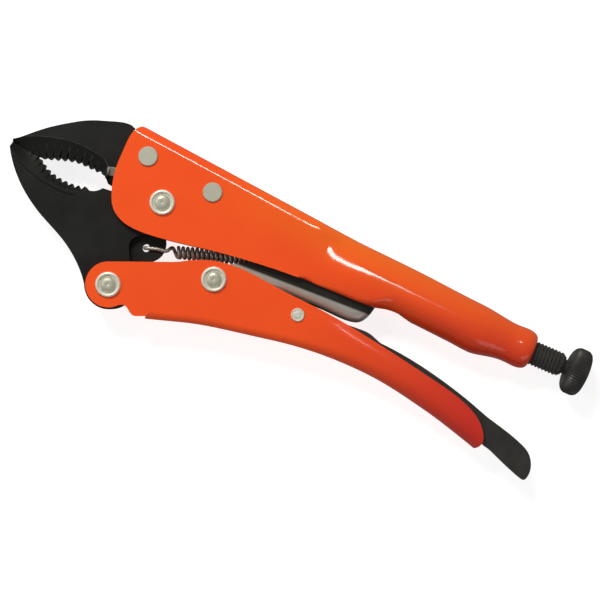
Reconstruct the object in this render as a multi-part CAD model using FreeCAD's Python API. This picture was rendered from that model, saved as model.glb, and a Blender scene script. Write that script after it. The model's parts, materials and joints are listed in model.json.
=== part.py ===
import FreeCAD, Part
import math
import os

# Locking pliers, 250 mm class, lying flat. Millimetres.
# X runs along the adjusting screw towards its knob, Y towards the main handle's closed back, Z up.
# The origin is on the jaw pivot's axis, in the plane that the tool rests on.

# ---- driving dimensions ----
MID = 10.0                    # height of the tool's middle plane
CHEEK_OUT = 8.0               # half the width over the handle cheeks
SHEET = 2.7                   # handle sheet thickness
CHEEK_IN = CHEEK_OUT - SHEET
SIDE_PLAY = 0.3               # play between moving pieces and the cheeks
JAW_HALF = CHEEK_IN - SIDE_PLAY
LINK_HALF = JAW_HALF - 0.1
LINK_WALL = 1.9
RELEASE_HALF = JAW_HALF
RELEASE_WALL = 1.5

JAW_PIVOT = (0.0, 0.0)
LEVER_PIVOT = (-6.7, -38.75)
LINK_PIVOT = (31.2, -19.9)
RELEASE_PIVOT = (67.65, -19.5)
FIXED_RIVETS = {"front": (-12.6, 14.6), "rear": (16.8, 11.75)}
EAR_HOLE = (0.75, -19.4)
EAR_HOLE_R = 1.6

PIN_R = 3.0                   # pivot rivet shank
RUNNING = 0.05                # radial play of a pin that turns in its hole
RING_R = 5.1
RING_HIGH = 1.5
RIVET_HIGH = 2.0              # pivot rivet end above the cheek
PLAIN_R = 3.9
PLAIN_HIGH = 1.0
RELEASE_PIN_R = 1.8
RELEASE_HEAD_R = 2.75

BACK_FRONT = (-19.5, 25.1)    # the back's straight outer line starts here
BACK_SLOPE = -0.0805
BACK_ROUND = 4.0
TUBE_START = 62.0             # the channel begins to roll into a tube here
SLIT_WIDE_END = 105.0
COLLAR_START = 146.0
HANDLE_END = 160.4

SCREW_Y = 4.5
SCREW_R = 5.0
THREAD_DEEP = 0.65
THREAD_PITCH = 1.5
SCREW_TIP = 99.6              # 3.6 behind the link's bearing end: the opened pivot's clearance
KNOB_START = 175.8
KNOB_THICK = 8.4
KNOB_R = 9.75
KNOB_KNURLS = 36
KNURL_DEEP = 0.7

TOOTH_PITCH = 2.7
UPPER_TOOTH_DEEP = 1.3
LOWER_TOOTH_DEEP = 1.9
TIP_X = -65.6
JAW_EDGE_HALF = 2.4           # half the jaw's thickness along its teeth

SPRING_R = 2.8
WIRE_R = 0.65
SPRING_FROM = (13.2, -15.9)
SPRING_TO = (67.5, 2.2)
ANCHOR_X = 77.0


# ---- helpers ----
def vec(x, y, z=0.0):
    return FreeCAD.Vector(x, y, z)


def run_edge(run):
    """One run of an outline: two points make a line, more make a smooth curve through them."""
    points = [vec(x, y) for x, y in run]
    if len(points) == 2:
        return Part.makeLine(*points)
    curve = Part.BSplineCurve()
    curve.interpolate(points)
    return curve.toShape()


def arc_edge(start, through, end):
    return Part.Arc(vec(*start), vec(*through), vec(*end)).toShape()


def on_circle(centre, radius, degrees):
    turn = math.radians(degrees)
    return (centre[0] + radius * math.cos(turn), centre[1] + radius * math.sin(turn))


def plate(edges, low, high):
    """A flat-sided piece: the outline's edges, filled and drawn out from height low to high."""
    face = Part.Face(Part.Wire(edges))
    face.translate(vec(0, 0, low))
    return face.extrude(vec(0, 0, high - low))


def cylinder(centre, radius, low, high):
    return Part.makeCylinder(radius, high - low, vec(centre[0], centre[1], low))


def polygon(points):
    return [Part.makeLine(vec(*a), vec(*b)) for a, b in zip(points, points[1:] + points[:1])]


def turned(profile, base, axis):
    """A solid of revolution: profile lists (radius, along) pairs from the axis and back to it."""
    corners = [vec(radius, 0, along) for radius, along in profile]
    solid = Part.Face(Part.makePolygon(corners + corners[:1])).revolve(vec(0, 0, 0), vec(0, 0, 1), 360)
    solid.Placement = FreeCAD.Placement(base, FreeCAD.Rotation(vec(0, 0, 1), axis))
    return solid


def mirrored(shape):
    """The shape's twin on the other side of the middle plane."""
    return shape.mirror(vec(0, 0, MID), vec(0, 0, 1))


def tube_along(points, radius):
    """A round bar through the points, with a ball at each bend."""
    bar = None
    for start, end in zip(points, points[1:]):
        piece = Part.makeCylinder(radius, (end - start).Length, start, end - start)
        bar = piece if bar is None else bar.fuse(piece).fuse(Part.makeSphere(radius, start))
    return bar


def tetra(corners):
    """The solid with four corners."""
    faces = []
    for skip in range(4):
        three = [corner for i, corner in enumerate(corners) if i != skip]
        faces.append(Part.Face(Part.makePolygon(three + three[:1])))
    solid = Part.Solid(Part.Shell(faces))
    if solid.Volume < 0:
        solid.reverse()
    return solid


def save(name, shape):
    shape = shape.removeSplitter()
    shape.exportStep(f"parts/{name}.step")
    print(name, "valid", shape.isValid(), "solids", len(shape.Solids), "volume", round(shape.Volume, 1))


# ---- main handle ----
def back_y(x, depth=0.0):
    """Height of the back's straight line, depth below its outer face."""
    return BACK_FRONT[1] + BACK_SLOPE * (x - BACK_FRONT[0]) - depth


def rounded_section(x, top, bottom, half, top_round, bottom_round):
    """A rounded rectangle across the handle at x, as a wire of four lines and four arcs."""
    edges = []
    corners = [
        (half, top, top_round, 0),
        (-half, top, top_round, 90),
        (-half, bottom, bottom_round, 180),
        (half, bottom, bottom_round, 270),
    ]
    arcs = []
    for z, y, radius, start in corners:
        centre = (z - math.copysign(radius, z), y - math.copysign(radius, y - (top + bottom) / 2))
        arcs.append([on_circle(centre, radius, start + a) for a in (0, 45, 90)])
    for arc, following in zip(arcs, arcs[1:] + arcs[:1]):
        points = [vec(x, y, MID + z) for z, y in arc]
        edges.append(Part.Arc(*points).toShape())
        edges.append(Part.makeLine(points[2], vec(x, following[0][1], MID + following[0][0])))
    return Part.Wire(edges)


def eased(x, start, end):
    """0 before start, 1 after end, and a smooth S between them."""
    t = min(max((x - start) / (end - start), 0.0), 1.0)
    return t * t * (3 - 2 * t)


def tube_station(x, top, bottom):
    """The rolled handle's section at x: its flat cheeks swell into a tube and its edges curl under."""
    roll = eased(x, TUBE_START, 88.0)
    curl = eased(x, 89.0, 103.0)
    narrow = eased(x, 132.0, 152.0)
    half = CHEEK_OUT + 1.85 * roll - 1.95 * narrow
    limit = min(half, (top - bottom) / 2) - 0.15
    top_round = min(BACK_ROUND + 5.3 * roll, limit)
    bottom_round = min(0.7 + 1.3 * roll + 7.4 * curl, limit)
    return (x, top, bottom, half, top_round, bottom_round)


def tube_stations():
    """The rolled part of the handle: x, top, bottom, half width, top and bottom corner radius."""
    edges = [
        (TUBE_START, back_y(TUBE_START), -5.7), (68.5, 18.0, -5.45), (75.0, 17.5, -5.3), (82.0, 17.1, -5.15),
        (89.0, 16.85, -4.95), (94.0, 16.65, -4.6), (99.0, 16.45, -4.3), (106.0, 16.1, -4.4), (114.0, 15.6, -4.7),
        (122.0, 15.0, -5.0), (130.0, 14.5, -5.4), (137.5, 14.05, -5.75), (COLLAR_START, 12.95, -4.0),
        (152.0, 12.55, -3.5), (157.8, 12.5, -3.45),
    ]
    return [tube_station(*edge) for edge in edges]


def main_handle():
    front = [(-20.0, 24.6), (-21.6, 22.4), (-22.7, 14.6), (-22.5, 4.7), (-19.9, -5.3), (-17.2, -9.9)]
    under = [(-12.3, -13.1), (-3.5, -14.2), (8.9, -12.8), (25.1, -9.85), (44.0, -7.2), (TUBE_START, -5.7)]
    outline = [
        run_edge([(TUBE_START, back_y(TUBE_START)), (-17.8, back_y(-17.8))]),
        run_edge([(-17.8, back_y(-17.8)), (-19.1, 24.93), (-20.0, 24.6)]),
        run_edge(front + under),
        run_edge([under[-1], (TUBE_START, back_y(TUBE_START))]),
    ]
    hollow_start = BACK_FRONT[0] - 10
    bar_ends = [
        rounded_section(x, back_y(x), -30.0, CHEEK_OUT, BACK_ROUND, 0.7) for x in (hollow_start, TUBE_START)
    ]
    bar = Part.makeLoft(bar_ends, True, True)
    channel = bar.common(plate(outline, MID - CHEEK_OUT - 1, MID + CHEEK_OUT + 1))
    stations = tube_stations()
    rounding = [(159.3, 11.9, -2.85, 7.35, 7.2, 7.2), (HANDLE_END, 10.5, -1.45, 5.95, 5.8, 5.8)]
    tube = Part.makeLoft([rounded_section(*station) for station in stations + rounding], True)
    outer = channel.fuse(tube)

    hollow = plate(
        polygon([
            (hollow_start, back_y(hollow_start, SHEET)),
            (TUBE_START, back_y(TUBE_START, SHEET)),
            (TUBE_START, -25),
            (hollow_start, -25),
        ]),
        MID - CHEEK_IN,
        MID + CHEEK_IN,
    )
    inner = []
    for x, top, bottom, half, top_round, bottom_round in stations[:13]:
        inside = (max(top_round - SHEET, 0.6), max(bottom_round - SHEET, 0.3))
        inner.append(rounded_section(x, top - SHEET, bottom + SHEET, half - SHEET, *inside))
    bore = Part.makeCylinder(SCREW_R + RUNNING, 40, vec(COLLAR_START - 10, SCREW_Y, MID), vec(1, 0, 0))
    slit_half = [(TUBE_START - 3, 4.9), (88.0, 5.7), (SLIT_WIDE_END, 5.6), (111.0, 3.2), (136.0, 1.6)]
    slit = Part.Face(Part.makePolygon(
        [vec(x, -20, MID + half) for x, half in slit_half]
        + [vec(x, -20, MID - half) for x, half in reversed(slit_half)]
        + [vec(slit_half[0][0], -20, MID + slit_half[0][1])]
    )).extrude(vec(0, 20.5, 0))
    body = outer.cut([hollow, Part.makeLoft(inner, True), bore, slit])

    tab = Part.makeBox(2.0, 10.5, 4.8, vec(ANCHOR_X - 1, 4.8, MID - 2.4))
    tab = tab.makeFillet(1.8, [e for e in tab.Edges if e.BoundBox.YMax < 4.9 and e.BoundBox.XLength > 1])
    tab = tab.cut(Part.makeCylinder(1.5, 10, vec(ANCHOR_X - 5, 7.0, MID), vec(1, 0, 0)))
    body = body.fuse(tab)
    for centre in FIXED_RIVETS.values():
        body = body.cut(cylinder(centre, PIN_R - 0.5, -5, 25))
    return body.cut(cylinder(JAW_PIVOT, PIN_R, -5, 25))


# ---- jaws ----
UPPER_GRIP = [(-65.5, -1.9), (-60.0, -2.45), (-55.5, -2.95), (-51.8, -3.05), (-48.6, -2.1), (-45.0, -0.9),
              (-41.2, 0.3), (-36.9, 0.9), (-32.4, 0.75), (-27.2, 0.7)]
UPPER_RIDGE = [(-67.5, -1.0), (-59.7, 3.1), (-53.0, 5.8), (-48.3, 7.1), (-43.0, 8.0), (-36.0, 8.0), (-29.5, 6.8),
               (-26.0, 4.5)]
LOWER_GRIP = [(-65.5, -2.02), (-60.0, -2.57), (-55.5, -3.07), (-52.6, -3.45), (-49.6, -5.1), (-45.3, -6.8),
              (-40.5, -7.5), (-36.0, -7.4), (-31.8, -6.5)]
LOWER_RIDGE = [(-67.5, -2.6), (-59.7, -6.9), (-54.5, -8.8), (-49.6, -10.0), (-44.9, -10.6), (-40.4, -10.8),
               (-35.0, -10.2), (-30.5, -7.6)]


def smooth(points):
    curve = Part.BSplineCurve()
    curve.interpolate([vec(*point) for point in points])
    return curve


def tooth_line(grip, inward, deep):
    """The toothed edge: tips on the grip curve, roots inward from it, deeper away from the jaw's nose."""
    curve = smooth(grip)
    count = 2 * round(curve.toShape().Length / TOOTH_PITCH)
    points = curve.toShape().discretize(Number=count + 1)
    line = []
    for i, point in enumerate(points):
        if i % 2:
            along = points[i + 1] - points[i - 1]
            grown = 0.08 + 0.92 * eased(point.x, TIP_X + 10, TIP_X + 20)
            across = vec(-along.y, along.x).normalize() * inward * deep * grown
            line.append((point.x + across.x, point.y + across.y))
        else:
            line.append((point.x, point.y))
    return line


def flank_cut(grip, ridge, half):
    """What the sloping flank takes off one side of a jaw, from its ridge to beyond its teeth."""
    stations = 8
    ridge_points = smooth(ridge).toShape().discretize(Number=stations)
    grip_points = smooth(grip).toShape().discretize(Number=stations)
    sections = []
    for high, low in zip(ridge_points, grip_points):
        out = low - high
        reach = high + out * (1 + 2.5 / out.Length)
        drop = (half - JAW_EDGE_HALF) * (reach - high).Length / out.Length
        corners = [
            vec(high.x, high.y, MID + half),
            vec(reach.x, reach.y, MID + half - drop),
            vec(reach.x, reach.y, MID + half + 2),
            vec(high.x, high.y, MID + half + 2),
        ]
        sections.append(Part.makePolygon(corners + corners[:1]))
    return Part.makeLoft(sections, True)


def flank_grooves(teeth, ridge, half):
    """The V grooves that run from the tooth roots up one flank and fade out before the ridge."""
    ridge_edge = smooth(ridge).toShape()
    grooves = []
    for i in range(3, len(teeth) - 1, 2):
        root = vec(*teeth[i])
        along = (vec(*teeth[i + 1]) - vec(*teeth[i - 1])).normalize()
        nearest = ridge_edge.distToShape(Part.Vertex(root))[1][0][0]
        up = nearest - root
        end = root + up * 0.72
        rise = half - JAW_EDGE_HALF
        outside = root - up.normalize() * 2.0
        surface = MID + JAW_EDGE_HALF - 0.2
        wide = along * TOOTH_PITCH * 0.5
        grooves.append(tetra([
            vec(outside.x + wide.x, outside.y + wide.y, surface + 0.9),
            vec(outside.x - wide.x, outside.y - wide.y, surface + 0.9),
            vec(outside.x, outside.y, surface - 1.7),
            vec(end.x, end.y, MID + JAW_EDGE_HALF + rise * 0.72 + 0.25),
        ]))
    return grooves


def fixed_jaw():
    teeth = tooth_line(UPPER_GRIP, 1, UPPER_TOOTH_DEEP)
    back = [(-22.2, 22.3), (-23.2, 23.3), (-25.0, 23.55), (-32.7, 21.5), (-40.2, 18.6), (-47.1, 14.5), (-53.8, 9.7),
            (-60.1, 4.1), (-63.2, 1.2), (-65.6, -0.5)]
    eye = 10.0                                  # clears the moving jaw's eye
    eye_from = on_circle(JAW_PIVOT, eye, 194)
    eye_to = on_circle(JAW_PIVOT, eye, 40)
    top = (-20.6, back_y(-20.6, SHEET + 0.02))
    rear_top = (24.5, back_y(24.5, SHEET + 0.02))
    outline = [
        run_edge([rear_top, top]),
        run_edge([top, back[0]]),
        run_edge(back),
        run_edge([back[-1], teeth[0]]),
        *[run_edge([a, b]) for a, b in zip(teeth, teeth[1:])],
        run_edge([teeth[-1], (-25.7, 0.5)]),
        run_edge([(-25.7, 0.5), (-23.8, -1.8)]),
        run_edge([(-23.8, -1.8), (-20.5, eye_from[1])]),
        run_edge([(-20.5, eye_from[1]), eye_from]),
        arc_edge(eye_from, on_circle(JAW_PIVOT, eye, 110), eye_to),
        run_edge([eye_to, (20.0, 4.6)]),
        run_edge([(20.0, 4.6), (24.5, 7.0)]),
        run_edge([(24.5, 7.0), rear_top]),
    ]
    jaw = plate(outline, MID - CHEEK_IN, MID + CHEEK_IN)
    cuts = [flank_cut(UPPER_GRIP, UPPER_RIDGE, CHEEK_IN)] + flank_grooves(teeth, UPPER_RIDGE, CHEEK_IN)
    cutter = Part.Face(Part.makePolygon([
        vec(-25, -4, MID + 0.4), vec(-25, -4, MID + 9), vec(-25, 4.6, MID + 9), vec(-25, 4.6, MID + CHEEK_IN),
        vec(-25, -4, MID + 0.4),
    ])).extrude(vec(6.5, 0, 0))
    cuts.append(cutter)
    jaw = jaw.cut(cuts + [mirrored(cut) for cut in cuts])
    return jaw.cut([cylinder(centre, PIN_R - 0.5, -5, 25) for centre in FIXED_RIVETS.values()])


def moving_jaw():
    teeth = tooth_line(LOWER_GRIP, -1, LOWER_TOOTH_DEEP)
    eye = 9.5
    lug = 10.0
    belly = [on_circle(LEVER_PIVOT, lug, 205), (-17.2, -41.0), (-22.6, -35.5), (-30.8, -29.8), (-43.5, -23.8), (-51.3, -19.1),
             (-56.0, -15.4), (-60.8, -10.5), (-63.6, -6.9), (-65.6, -3.7)]
    eye_from = on_circle(JAW_PIVOT, eye, 202)
    eye_to = on_circle(JAW_PIVOT, eye, -30)
    lug_from = on_circle(LEVER_PIVOT, lug, 35)
    outline = [
        run_edge(belly),
        run_edge([belly[-1], teeth[0]]),
        *[run_edge([a, b]) for a, b in zip(teeth, teeth[1:])],
        run_edge([teeth[-1], (-29.6, -7.3), (-27.0, -6.6), (-24.6, -4.3)]),
        run_edge([(-24.6, -4.3), (-20.8, -3.9)]),
        run_edge([(-20.8, -3.9), eye_from]),
        arc_edge(eye_from, on_circle(JAW_PIVOT, eye, 90), eye_to),
        run_edge([eye_to, (4.0, -12.5), (-3.5, -15.8), (-5.8, -19.8), (-4.6, -23.5), (-2.6, -27.1), lug_from]),
        arc_edge(lug_from, on_circle(LEVER_PIVOT, lug, -65), belly[0]),
    ]
    jaw = plate(outline, MID - JAW_HALF, MID + JAW_HALF)
    ear_outline = [
        run_edge([(-8.0, -11.5), (4.6, -11.5)]),
        run_edge([(4.6, -11.5), (6.9, -13.6), (7.9, -16.4), (7.8, -19.4), (6.4, -22.2), (3.2, -24.8), (-2.0, -27.0)]),
        run_edge([(-2.0, -27.0), (-8.0, -27.0)]),
        run_edge([(-8.0, -27.0), (-8.0, -11.5)]),
    ]
    jaw = jaw.fuse(plate(ear_outline, MID - 1.75, MID + 1.75))
    cuts = [flank_cut(LOWER_GRIP, LOWER_RIDGE, JAW_HALF)] + flank_grooves(teeth, LOWER_RIDGE, JAW_HALF)
    groove = [
        run_edge([(-63.4, -5.6), (-59.3, -7.8), (-53.8, -9.9), (-48.9, -11.1), (-44.2, -11.7), (-39.8, -11.9),
                  (-34.4, -11.1)]),
        run_edge([(-34.4, -11.1), (-34.2, -12.6)]),
        run_edge([(-34.2, -12.6), (-39.4, -13.2), (-44.0, -12.8), (-48.6, -12.2), (-53.6, -10.8), (-59.0, -8.4),
                  (-63.4, -5.6)]),
    ]
    cuts.append(plate(groove, MID + JAW_HALF - 0.6, MID + JAW_HALF + 1))
    jaw = jaw.cut(cuts + [mirrored(cut) for cut in cuts])
    holes = [
        cylinder(JAW_PIVOT, PIN_R + RUNNING, -5, 25),
        cylinder(LEVER_PIVOT, PIN_R + RUNNING, -5, 25),
        cylinder(EAR_HOLE, EAR_HOLE_R, -5, 25),
    ]
    return jaw.cut(holes)


# ---- lever ----
LEVER_TOP = [(15.9, -18.9), (24.8, -14.3), (31.4, -12.4), (39.0, -11.7), (57.0, -12.9), (74.9, -13.9), (93.2, -15.9),
             (112.0, -18.8), (130.9, -22.1), (145.7, -26.1), (152.0, -30.0), (155.8, -35.6)]
LEVER_UNDER = [(8.4, -46.9), (16.0, -44.3), (25.1, -41.3), (33.0, -39.0), (41.0, -37.2), (53.0, -34.9), (65.4, -32.5),
               (78.0, -30.8), (90.9, -30.1), (100.0, -30.2), (108.9, -30.8), (118.0, -32.1), (127.9, -33.9),
               (137.6, -36.0), (147.6, -38.6), (160.0, -42.5)]
LEVER_NOSE_R = 9.2
LEVER_BEND_R = 3.6
LEVER_ROUND_R = 7.3           # the bend's radius where the hand holds the lever


def lever_bar(inset):
    """The lever's long channel as a bar with a rounded underside, inset from its outer faces."""
    sections = []
    for x, bottom in LEVER_UNDER:
        bend = LEVER_BEND_R + (LEVER_ROUND_R - LEVER_BEND_R) * eased(x, 70.0, 135.0)
        sections.append(rounded_section(x, 5.0, bottom + inset, CHEEK_OUT - inset, 0.5, bend - inset))
    return Part.makeLoft(sections, True)


def lower_lever():
    nose_top = on_circle(LEVER_PIVOT, LEVER_NOSE_R, 116)
    nose_end = on_circle(LEVER_PIVOT, LEVER_NOSE_R, -42)
    trim = [
        run_edge([(12.0, -20.8), LEVER_TOP[0]]),
        run_edge(LEVER_TOP),
        arc_edge(LEVER_TOP[-1], (155.3, -39.2), (152.4, -41.5)),
        run_edge([(152.4, -41.5), (152.4, -60.0)]),
        run_edge([(152.4, -60.0), (12.0, -60.0)]),
        run_edge([(12.0, -60.0), (12.0, -20.8)]),
    ]
    nose = [
        run_edge([nose_top, (12.5, -20.5)]),
        run_edge([(12.5, -20.5), (12.5, -44.2)]),
        run_edge([(12.5, -44.2), (8.6, -45.9)]),
        run_edge([(8.6, -45.9), (6.4, -45.9), (4.4, -44.6), nose_end]),
        arc_edge(nose_end, on_circle(LEVER_PIVOT, LEVER_NOSE_R, -140), nose_top),
    ]
    low, high = MID - CHEEK_OUT, MID + CHEEK_OUT
    body = lever_bar(0).common(plate(trim, low - 1, high + 1)).fuse(plate(nose, low, high))
    between_cheeks = plate(polygon([(-40, 20), (12.5, 20), (12.5, -43.0), (8.4, -44.0), (-40, -44.0)]),
                           MID - CHEEK_IN, MID + CHEEK_IN)
    below_nose = plate(polygon([(-40, -43.5), (8.4, -43.5), (8.4, -70), (-40, -70)]), MID - CHEEK_IN, MID + CHEEK_IN)
    body = body.cut([lever_bar(SHEET), between_cheeks, below_nose])
    for centre, radius in ((LEVER_PIVOT, PIN_R), (LINK_PIVOT, PIN_R), (RELEASE_PIVOT, RELEASE_PIN_R)):
        body = body.cut(cylinder(centre, radius, -5, 25))
    return body


# ---- toggle link ----
LINK_UNDER = [(34.0, -24.6), (46.0, -18.4), (56.0, -15.0), (66.0, -14.0), (79.5, -13.8), (87.5, -13.7)]
LINK_REAR = [(91.8, -12.2), (94.3, -8.0), (95.4, -2.0), (96.0, 4.4)]
LINK_NOSE_R = 5.6
LINK_BEND_R = 4.4


def toggle_link():
    top = [(30.0, -14.5), (50.0, -3.0), (70.0, 6.0), (84.0, 9.6)]
    outline = [
        run_edge(top),
        run_edge([top[-1], LINK_REAR[-1]]),
        run_edge(list(reversed(LINK_UNDER + LINK_REAR))),
        run_edge([LINK_UNDER[0], top[0]]),
    ]
    body = plate(outline, MID - LINK_HALF, MID + LINK_HALF)
    bends = [edge for edge in body.Edges if edge.BoundBox.ZLength < 0.1 and edge.BoundBox.XMax > 95.5
             and edge.BoundBox.YMin < -20]
    body = body.makeFillet(LINK_BEND_R, bends)
    body = body.fuse(cylinder(LINK_PIVOT, LINK_NOSE_R, MID - LINK_HALF, MID + LINK_HALF))
    floor = [(x, y + LINK_WALL) for x, y in LINK_UNDER]
    floor[0] = (37.5, -20.6)
    inside = [
        run_edge(floor),
        run_edge([floor[-1], (90.9, -10.0), (92.1, -7.6), (93.0, -3.0), (93.4, 1.5)]),
        run_edge([(93.4, 1.5), (93.4, 20)]),
        run_edge([(93.4, 20), (15, 20)]),
        run_edge([(15, 20), (15, -35)]),
        run_edge([(15, -35), (37.5, -35)]),
        run_edge([(37.5, -35), floor[0]]),
    ]
    wall_in = LINK_HALF - LINK_WALL
    body = body.cut(plate(inside, MID - wall_in, MID + wall_in))
    return body.cut(cylinder(LINK_PIVOT, PIN_R + RUNNING, -5, 25))


# ---- release lever ----
RELEASE_TAIL = [(151.0, -25.7), (160.3, -28.1), (170.2, -30.9), (175.0, -33.4), (177.6, -37.0), (178.4, -41.0),
                (177.4, -43.9), (174.6, -43.6), (165.8, -40.5), (157.5, -37.9)]


def release_lever():
    nose = 4.2
    nose_top = on_circle(RELEASE_PIVOT, nose, 80)
    nose_low = on_circle(RELEASE_PIVOT, nose, -80)
    outline = [
        run_edge([nose_top, (80.0, -16.4)]),
        run_edge([(80.0, -16.4), (85.5, -15.4), (92.0, -14.9), (97.4, -14.9), (100.6, -15.9), (103.0, -16.6)]),
        run_edge([(103.0, -16.6), (112.0, -17.2), (121.0, -18.4), (130.5, -20.2), (140.2, -22.5), (151.0, -25.7)]),
        run_edge(RELEASE_TAIL),
        run_edge([RELEASE_TAIL[-1], (156.3, -35.2), (152.5, -33.4), (140.0, -30.2), (120.0, -26.7), (95.0, -25.7),
                  (76.0, -24.6)]),
        run_edge([(76.0, -24.6), nose_low]),
        arc_edge(nose_low, on_circle(RELEASE_PIVOT, nose, 180), nose_top),
    ]
    body = plate(outline, MID - RELEASE_HALF, MID + RELEASE_HALF)
    inside = [
        run_edge([(73.0, -22.6), (95.0, -24.2), (120.0, -25.2), (140.0, -28.6), (150.0, -31.1), (154.5, -32.4)]),
        run_edge([(154.5, -32.4), (157.5, -29.5)]),
        run_edge([(157.5, -29.5), (152.0, -10)]),
        run_edge([(152.0, -10), (50, -10)]),
        run_edge([(50, -10), (50, -30)]),
        run_edge([(50, -30), (73, -30)]),
        run_edge([(73, -30), (73.0, -22.6)]),
    ]
    wall_in = RELEASE_HALF - RELEASE_WALL
    body = body.cut(plate(inside, MID - wall_in, MID + wall_in))
    return body.cut(cylinder(RELEASE_PIVOT, RELEASE_PIN_R + RUNNING, -5, 25))


# ---- rivets and rings ----
def pivot_rivet(centre):
    """A shank with a domed end standing in each ring; the upper end has a small dimple."""
    face = CHEEK_OUT
    end = face + RIVET_HIGH
    profile = [
        (0, -end), (1.6, -end), (2.5, -end + 0.35), (3.2, -end + 1.0), (3.2, -face - 0.65), (PIN_R, -face - 0.6),
        (PIN_R, face + 0.6), (3.2, face + 0.65), (3.2, end - 1.0), (2.5, end - 0.35), (1.6, end), (0.7, end),
        (0, end - 0.35),
    ]
    return turned(profile, vec(centre[0], centre[1], MID), vec(0, 0, 1))


def pivot_ring(centre, side):
    """The raised ring round a pivot rivet's end, on one cheek; side is +1 above and -1 below."""
    profile = [(PIN_R, 0), (RING_R, 0), (RING_R, 0.8), (4.75, RING_HIGH - 0.1), (4.4, RING_HIGH), (4.0, 1.4),
               (3.6, 0.6), (PIN_R, 0.6)]
    return turned(profile, vec(centre[0], centre[1], MID + side * CHEEK_OUT), vec(0, 0, side))


def plain_rivet(centre, shank, head, high, round_over):
    end = CHEEK_OUT + high
    profile = [
        (0, -end), (head - round_over, -end), (head, -end + round_over), (head, -CHEEK_OUT), (shank, -CHEEK_OUT),
        (shank, CHEEK_OUT), (head, CHEEK_OUT), (head, end - round_over), (head - round_over, end), (0, end),
    ]
    return turned(profile, vec(centre[0], centre[1], MID), vec(0, 0, 1))


# ---- adjuster ----
def adjusting_screw():
    """The threaded rod, its thread as rings, with a reduced spigot that the knob turns on."""
    profile = [(0, SCREW_TIP), (SCREW_R - 2.0, SCREW_TIP), (SCREW_R - THREAD_DEEP, SCREW_TIP + 1.3)]
    crests = int((KNOB_START - SCREW_TIP - 3.0) / THREAD_PITCH)
    for i in range(crests):
        start = SCREW_TIP + 1.6 + i * THREAD_PITCH
        profile += [
            (SCREW_R - THREAD_DEEP, start),
            (SCREW_R, start + THREAD_PITCH * 0.38),
            (SCREW_R, start + THREAD_PITCH * 0.54),
            (SCREW_R - THREAD_DEEP, start + THREAD_PITCH * 0.92),
        ]
    profile += [
        (SCREW_R - THREAD_DEEP, KNOB_START - 0.3), (3.0, KNOB_START - 0.3), (3.0, KNOB_START + KNOB_THICK - 1.5),
        (0, KNOB_START + KNOB_THICK - 1.5),
    ]
    return turned(profile, vec(0, SCREW_Y, MID), vec(1, 0, 0))


def adjusting_knob():
    rim = 1.6
    profile = [
        (0, 0), (KNOB_R - rim, 0), (KNOB_R - 0.45, 0.5), (KNOB_R, rim), (KNOB_R, KNOB_THICK - rim),
        (KNOB_R - 0.45, KNOB_THICK - 0.5), (KNOB_R - rim, KNOB_THICK), (0, KNOB_THICK),
    ]
    knob = turned(profile, vec(KNOB_START, SCREW_Y, MID), vec(1, 0, 0))
    cuts = []
    for i in range(KNOB_KNURLS):
        turn = 2 * math.pi * i / KNOB_KNURLS
        groove = Part.Face(Part.makePolygon([
            vec(KNOB_START - 1, 0, KNOB_R - KNURL_DEEP),
            vec(KNOB_START - 1, 0.62, KNOB_R + 0.4),
            vec(KNOB_START - 1, -0.62, KNOB_R + 0.4),
            vec(KNOB_START - 1, 0, KNOB_R - KNURL_DEEP),
        ])).extrude(vec(KNOB_THICK + 2, 0, 0))
        groove.rotate(vec(0, 0, 0), vec(1, 0, 0), math.degrees(turn))
        groove.translate(vec(0, SCREW_Y, MID))
        cuts.append(groove)
    spigot = turned(
        [(0, -1), (3.0 + RUNNING, -1), (3.0 + RUNNING, KNOB_THICK - 1.4), (0, KNOB_THICK - 1.4)],
        vec(KNOB_START, SCREW_Y, MID),
        vec(1, 0, 0),
    )
    return knob.cut(cuts + [spigot])


# ---- spring ----
def tension_spring():
    """The spring as a plain closed sleeve with a wire hook at each end."""
    start = vec(SPRING_FROM[0], SPRING_FROM[1], MID)
    end = vec(SPRING_TO[0], SPRING_TO[1], MID)
    along = (end - start).normalize()
    coil = Part.makeCylinder(SPRING_R, (end - start).Length, start, along)
    over_ear = MID + 1.75 + WIRE_R + 0.25
    front = tube_along([
        start + along * 1.0,
        vec(9.4, -16.9, over_ear),
        vec(EAR_HOLE[0], EAR_HOLE[1], over_ear),
        vec(EAR_HOLE[0], EAR_HOLE[1], MID - 1.75 - WIRE_R - 0.25),
    ], WIRE_R)
    rear = tube_along([end - along * 1.0, vec(ANCHOR_X - 3.5, 5.6, MID), vec(ANCHOR_X + 2.4, 7.0, MID)], WIRE_R)
    return coil.fuse(front).fuse(rear)


def main():
    os.makedirs("parts", exist_ok=True)
    save("main_handle", main_handle())
    save("fixed_jaw", fixed_jaw())
    save("moving_jaw", moving_jaw())
    save("lower_lever", lower_lever())
    save("toggle_link", toggle_link())
    save("release_lever", release_lever())
    for name, centre in FIXED_RIVETS.items():
        save(f"fixed_jaw_rivet_{name}", plain_rivet(centre, PIN_R - 0.5, PLAIN_R, PLAIN_HIGH, 0.3))
    save("release_lever_rivet", plain_rivet(RELEASE_PIVOT, RELEASE_PIN_R, RELEASE_HEAD_R, 0.9, 0.25))
    pivots = {"jaw": JAW_PIVOT, "lever": LEVER_PIVOT, "link": LINK_PIVOT}
    for name, centre in pivots.items():
        save(f"{name}_pivot_rivet", pivot_rivet(centre))
        save(f"{name}_pivot_ring_near", pivot_ring(centre, 1))
        save(f"{name}_pivot_ring_far", pivot_ring(centre, -1))
    save("adjusting_screw", adjusting_screw())
    save("adjusting_knob", adjusting_knob())
    save("tension_spring", tension_spring())


main()
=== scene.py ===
import json
import math

import bmesh
import bpy
from mathutils import Matrix, Vector


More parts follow.
